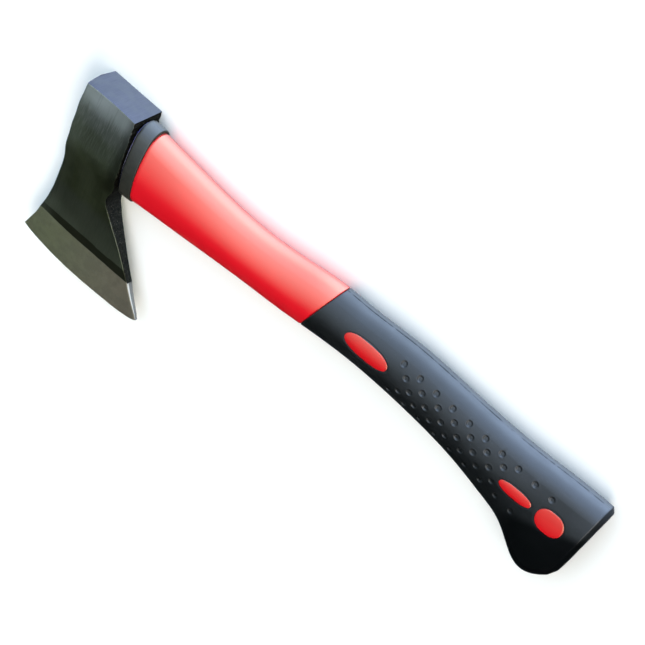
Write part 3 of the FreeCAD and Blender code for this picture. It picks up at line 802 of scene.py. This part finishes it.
def head_steel(name):
    """Black-oxide steel, ground along the blade, with a bare bevel and a brushed poll, and painted light
    and shade on the cheek, the poll's edge, the underside and its facet.
    """
    m = Recipe(name, Metallic=1.0, Roughness=0.4)
    drift = m.math("SUBTRACT", m.noise(m.stretched(9.0, 9.0, 9.0), 3.0), 0.5)
    fine_drift = m.math("SUBTRACT", m.noise(m.stretched(1.2, 1.2, 1.2), 3.0), 0.5)
    line_y = m.math("ADD", m.y, m.math("MULTIPLY", drift, 0.8))
    toward_toe = m.math("DIVIDE", m.math("SUBTRACT", TOE_RISE_X, m.x), TOE_RISE_LENGTH, clamp=True)
    toe_rise = m.math("MULTIPLY", m.math("MULTIPLY", toward_toe, toward_toe), TOE_RISE)
    bevel_line = m.math("SUBTRACT", line_y, m.math("ADD", toe_rise, BEVEL_RISE))
    bevel = m.spread(bevel_line, BEVEL_Y + 0.2, BEVEL_Y - 0.2)
    dip = m.math("MULTIPLY", m.spread(m.x, 20.0, 24.0), m.spread(m.x, 34.0, 32.0, 0.0, 0.45))
    over_band = m.math("ADD", m.math("ADD", line_y, -BAND_Y), dip)
    band = m.spread(over_band, 0.4, -0.4)
    band = m.math("MULTIPLY", band, m.spread(m.x, -22.0, -5.0, 0.4, 0.85))
    poll = m.spread(m.ny, 0.75, 0.9)
    # Painted shade: a near-black line where the eased edge turns from cheek to poll.
    painted_poll_edge_shade = m.math("MULTIPLY", m.spread(m.ny, 0.2, 0.4), m.spread(m.ny, 0.95, 0.8))
    under = m.spread(m.nx, 0.45, 0.6)

    grind = m.noise(m.stretched(0.55, 6.0, 6.0), 2.0, 0.5)
    grind_wide = m.noise(m.stretched(1.6, 30.0, 30.0), 3.0, 0.6)
    blotch = m.noise(m.stretched(14.0, 14.0, 14.0), 4.0, 0.6)
    cheek_low = m.mix(m.spread(blotch, 0.35, 0.65), paint(105, 111, 76), paint(117, 123, 88))
    # Painted light and shade: the cheek's colour steps along y, much lighter towards the poll (less so
    # towards the heel side) and a little lighter towards the top edge.
    bright_y = m.math("ADD", m.y, m.math("MULTIPLY", drift, 6.0))
    cheek = m.mix(m.spread(bright_y, -38.0, -50.0), cheek_low, paint(109, 113, 90))
    cheek = m.mix(m.spread(bright_y, -20.0, -4.0), cheek, paint(93, 98, 77))
    cheek = m.mix(m.spread(bright_y, 0.0, 10.0), cheek, paint(115, 118, 106))
    painted_poll_light = m.spread(bright_y, 10.0, 24.0)
    cheek = m.over(cheek, painted_poll_light, m.spread(m.x, -6.0, 12.0, 1.0, 0.62), paint(197, 201, 193))
    cheek = m.over(cheek, m.spread(m.x, -5.0, -16.0), 0.2, paint(170, 176, 150))
    grind_share = m.spread(m.y, -20.0, 16.0, 0.03, 0.2)
    cheek = m.over(cheek, m.spread(grind, 0.4, 0.75), grind_share, paint(205, 207, 195))
    cheek = m.over(cheek, m.spread(grind_wide, 0.5, 0.7), 0.2, paint(84, 88, 70))
    dot = m.spread(m.noise(m.stretched(0.9, 0.9, 0.9), 3.0, 0.7), 0.7, 0.76)
    dot_field = m.spread(m.noise(m.stretched(18.0, 18.0, 18.0), 2.0), 0.5, 0.65)
    cheek = m.over(cheek, dot, dot_field, paint(160, 168, 150))
    # Painted shade: the cheek is darkened towards the underside near the eye.
    painted_heel_shade = m.spread(m.x, 12.0, 19.0, 0.0, 0.65)
    cheek = m.over(cheek, painted_heel_shade, m.spread(m.y, -34.0, -10.0), paint(22, 24, 16))

    olive = m.mix(m.spread(m.x, -20.0, 62.0), paint(163, 163, 122), paint(174, 159, 133))
    scratch = m.noise(m.stretched(20.0, 0.5, 20.0), 4.0, 0.7, 0.3)
    olive = m.over(olive, m.spread(scratch, 0.45, 0.75), 0.35, paint(166, 166, 146))
    olive = m.over(olive, m.spread(blotch, 0.4, 0.62), 0.3, paint(108, 108, 90))
    pits = m.noise(m.stretched(0.8, 0.8, 0.8), 4.0, 0.7)
    olive = m.over(olive, m.spread(pits, 0.55, 0.7), 0.3, paint(96, 98, 80))

    brushed = m.noise(m.stretched(0.3, 0.5, 14.0), 4.0, 0.65)
    poll_cloud = m.noise(m.stretched(9.0, 7.0, 7.0), 3.0)
    poll_tone = m.mix(m.spread(brushed, 0.3, 0.7), paint(61, 61, 65), paint(71, 70, 75))
    poll_tone = m.over(poll_tone, m.spread(poll_cloud, 0.4, 0.65), 0.5, paint(74, 74, 74))

    # Underside: its near-black base is painted shade; the saw arcs and specks on it are surface marks.
    saw = m.noise(m.stretched(5.0, 0.9, 0.5), 5.0, 0.7, 0.8)
    black = m.mix(m.spread(saw, 0.4, 0.75), paint(20, 19, 14), paint(66, 62, 50))
    off_middle = m.math("SUBTRACT", m.z, MID_Z)
    bend = m.math("MULTIPLY", m.math("MULTIPLY", off_middle, off_middle), SAW_BEND)
    arc_place = m.math("ADD", m.math("ADD", m.y, bend), m.math("MULTIPLY", drift, 1.5))
    arc = m.math("SINE", m.math("MULTIPLY", arc_place, SAW_RATE))
    black = m.over(black, m.spread(arc, 0.55, 1.0), m.spread(saw, 0.42, 0.65, 0.0, 0.3), paint(96, 91, 76))
    speck = m.spread(m.noise(m.stretched(0.6, 0.6, 0.6), 2.0), 0.68, 0.74)
    black = m.mix(speck, black, paint(150, 144, 122))
    fine_lines = m.noise(m.stretched(0.4, 3.0, 0.15), 3.0, 0.6)
    bright = m.mix(m.spread(fine_lines, 0.35, 0.7), paint(132, 126, 114), paint(168, 160, 146))
    # Painted highlight: a near-white stripe on the near half of the bare facet.
    painted_highlight_stripe = m.spread(off_middle, 0.3, 0.9)
    bright = m.mix(painted_highlight_stripe, bright, paint(248, 238, 218))

    tone = m.mix(band, cheek, paint(50, 49, 32))
    tone = m.mix(bevel, tone, olive)
    tone = m.mix(poll, tone, poll_tone)
    tone = m.mix(painted_poll_edge_shade, tone, paint(18, 19, 20))
    under_tone = m.mix(m.spread(line_y, BEVEL_Y + 0.1, BEVEL_Y - 0.5), black, bright)
    tone = m.mix(under, tone, under_tone)
    burr = m.math("MULTIPLY", m.spread(m.nx, 0.12, 0.3), m.spread(m.nz, 0.3, 0.5))
    along_web = m.math("MULTIPLY", m.spread(m.y, -20.0, -34.0), m.spread(m.y, -63.0, -56.0))
    burr = m.math("MULTIPLY", burr, along_web)
    tone = m.over(tone, burr, m.spread(fine_drift, -0.04, 0.1), paint(132, 134, 120))
    m.colour(tone)

    rough = m.mix(bevel, grey(0.4), grey(0.52))
    rough = m.mix(poll, rough, grey(0.36))
    rough = m.mix(under, rough, grey(0.6))
    m.roughness(m.math("ADD", m.math("MULTIPLY", m.math("SUBTRACT", blotch, 0.5), 0.2), rough))
    m.bump(m.mix(poll, grind, brushed), 0.02)
    m.bump(m.mix(under, blotch, saw), 0.08)
    return m.material


def resin_gloss(name):
    """Bubbly epoxy: nearly black in the eye; on the bead squeezed out at the back, a painted violet-blue
    glint.
    """
    m = Recipe(name, Roughness=0.2, IOR=1.6, Specular_IOR_Level=0.8,
               Specular_Tint=(0.75, 0.75, 1.0, 1.0))
    bubbles = m.noise(m.stretched(1.1, 1.1, 1.1), 3.0, 0.6)
    # Painted glint: the bead is violet-blue towards the back (+y) and near-black below it.
    squeezed = m.mix(m.spread(bubbles, 0.45, 0.7), paint(10, 10, 26), paint(40, 38, 112))
    squeezed = m.mix(m.spread(m.y, 4.0, 16.0), paint(8, 8, 12), squeezed)
    pool = m.mix(m.spread(bubbles, 0.3, 0.7), paint(12, 13, 18), paint(20, 21, 29))
    m.colour(m.mix(m.spread(m.x, 0.0, 10.0), pool, squeezed))
    m.bump(bubbles, 0.15)
    return m.material


def finish_piece(piece, material, slot_name, *nodes):
    """Give a piece its one material, and say what it rides on and which nodes it replaces."""
    piece.data.materials.clear()
    piece.data.materials.append(material)
    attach(piece, "root")
    if nodes:
        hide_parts(*nodes)


red = red_plastic("red_polypropylene", paint(233, 2, 27), paint(238, 5, 29), 1.0)
# The islands are the jacket's red plastic, painted darker as painted shade.
shaded_island_red = red_plastic("red_islands", paint(206, 9, 20), paint(212, 11, 22), 0.55)
rubber = black_rubber("grip_rubber", paint(8, 10, 9), paint(13, 15, 14))
# The collar is the grip's rubber, painted lighter and warmer as painted light.
lit_collar_rubber = black_rubber("collar_rubber", paint(36, 34, 25), paint(48, 46, 35))
steel = head_steel("forged_steel")
epoxy = resin_gloss("epoxy_resin")

finish_piece(build_jacket(), red, "red_polypropylene", "handle_jacket")
for island in build_islands():
    finish_piece(island, shaded_island_red, "red_polypropylene", "handle_jacket")
finish_piece(build_sleeve(), rubber, "grip_rubber", "grip_sleeve")
finish_piece(build_head(), steel, "forged_steel", "axe_head")
finish_piece(build_collar(), lit_collar_rubber, "collar_rubber", "neck_collar")
for part in build_resin():
    finish_piece(part, epoxy, "epoxy", "eye_resin")

core = Recipe("fibreglass", Roughness=0.5)
strands = core.noise(core.stretched(30.0, 0.4, 0.4), 4.0, 0.6)
core.colour(core.mix(strands, paint(196, 190, 150), paint(226, 222, 190)))
core.bump(strands, 0.05)
core_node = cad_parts["core_rod"]
core_node.data.materials.clear()
core_node.data.materials.append(core.material)

# ---------------------------------------------------------------- floor, light and camera

def build_floor():
    """A sheet of pale paper under the object, just below its resting plane."""
    side = 14.0 / MM
    cells = 12
    middle_x = 160.0
    points = []
    for j in range(cells + 1):
        for i in range(cells + 1):
            points.append(((i / cells - 0.5) * side + middle_x, (j / cells - 0.5) * side, 0.0))
    faces = []
    for j in range(cells):
        for i in range(cells):
            a = j * (cells + 1) + i
            faces.append((a, a + 1, a + cells + 2, a + cells + 1))
    floor = mesh_object("studio_floor", points, faces)
    m = Recipe("studio_paper", Roughness=0.9)
    m.colour(paint(255, 246, 228))
    floor.data.materials.append(m.material)
    floor.visible_glossy = False
    floor.location.z = -0.0002


build_floor()


# Tints of the dim and of the bright side, and of the light box above the butt's side
WARM_SIDE = (0.88, 1.0, 1.04)
COOL_SIDE = (0.76, 1.0, 1.42)
BOX_TINT = (1.0, 0.98, 0.97)
BOX_LIGHT = 5.2
LOW_LIGHT = 1.9
SIDE_SHARE = 0.4
SIDE_CENTRE = 0.24


def light_tent():
    """A soft studio tent: bright on the poll side and below it, falling off to dark at the edge side."""
    world = bpy.data.worlds.new("studio")
    bpy.context.scene.world = world
    world.use_nodes = True
    tree = world.node_tree
    background = tree.nodes["Background"]

    def math_node(operation, a, b=0.0):
        node = tree.nodes.new("ShaderNodeMath")
        node.operation = operation
        for socket, value in zip(node.inputs, (a, b)):
            if isinstance(value, bpy.types.NodeSocket):
                tree.links.new(value, socket)
            else:
                socket.default_value = value
        return node.outputs[0]

    def soft_range(value, low, high, to_low, to_high, kind="SMOOTHSTEP"):
        node = tree.nodes.new("ShaderNodeMapRange")
        node.interpolation_type = kind
        tree.links.new(value, node.inputs["Value"])
        limits = {"From Min": low, "From Max": high, "To Min": to_low, "To Max": to_high}
        for label, number in limits.items():
            node.inputs[label].default_value = number
        return node.outputs[0]

    def vector_node(operation, a, b):
        node = tree.nodes.new("ShaderNodeVectorMath")
        node.operation = operation
        second = node.inputs["Scale" if operation == "SCALE" else 1]
        for socket, value in zip((node.inputs[0], second), (a, b)):
            if isinstance(value, bpy.types.NodeSocket):
                tree.links.new(value, socket)
            else:
                socket.default_value = value
        return node.outputs[0]

    direction = tree.nodes.new("ShaderNodeTexCoord")
    split = tree.nodes.new("ShaderNodeSeparateXYZ")
    tree.links.new(direction.outputs["Generated"], split.inputs[0])
    along, across, height = split.outputs
    wall = soft_range(across, -0.66, 1.0, 0.015, 3.2, "LINEAR")
    low_side = math_node("MULTIPLY", soft_range(across, 0.0, 0.8, 0.0, 1.0),
                         soft_range(height, -0.3, 0.35, 1.0, 0.0))
    strength = math_node("ADD", wall, math_node("MULTIPLY", low_side, LOW_LIGHT))
    cool = soft_range(across, -0.7, 0.7, 0.0, 1.0, "LINEAR")
    change = tuple(c - w for c, w in zip(COOL_SIDE, WARM_SIDE))
    tint = vector_node("ADD", WARM_SIDE, vector_node("SCALE", change, cool))
    past_middle = math_node("ADD", along, SIDE_CENTRE)
    off_middle = math_node("MAXIMUM", past_middle, math_node("MULTIPLY", past_middle, -1.5))
    strength = math_node("MULTIPLY", strength, soft_range(off_middle, 0.2, 0.6, 1.0, SIDE_SHARE))
    box = math_node("MULTIPLY", soft_range(along, 0.35, 0.55, 0.0, 1.0),
                    soft_range(height, 0.52, 0.76, 0.0, 1.0))
    box_light = vector_node("SCALE", BOX_TINT, math_node("MULTIPLY", box, BOX_LIGHT))
    total = vector_node("ADD", vector_node("SCALE", tint, strength), box_light)
    tree.links.new(total, background.inputs["Color"])
    background.inputs["Strength"].default_value = 1.0
    world.cycles.sampling_method = "NONE"


light_tent()
bpy.context.scene.view_settings.view_transform = "Standard"
bpy.context.scene.view_settings.look = "None"

# The view: where it looks, from how far, and which way is right and up in it
CAMERA_AIM = Vector((160.63, -3.93, 12.5)) * MM
CAMERA_DISTANCE = 1099.5 * MM
VIEW_RIGHT = Vector((0.740, 0.398, -0.543))
VIEW_UP = Vector((-0.630, 0.692, -0.352))
FRAME_PIXELS = 645
FOCAL_PIXELS = 2064.65
SENSOR = 36.0

toward_camera = VIEW_RIGHT.cross(VIEW_UP).normalized()
up = toward_camera.cross(VIEW_RIGHT).normalized()
right = up.cross(toward_camera).normalized()
camera_data = bpy.data.cameras.new("camera")
camera_data.sensor_width = SENSOR
camera_data.lens = FOCAL_PIXELS / FRAME_PIXELS * SENSOR
camera_data.clip_start = 0.01
camera_data.clip_end = 50.0
camera = bpy.data.objects.new("camera", camera_data)
camera.matrix_world = Matrix.Translation(CAMERA_AIM + toward_camera * CAMERA_DISTANCE) @ Matrix(
    (right, up, toward_camera)).transposed().to_4x4()
bpy.context.scene.collection.objects.link(camera)
bpy.context.scene.camera = camera
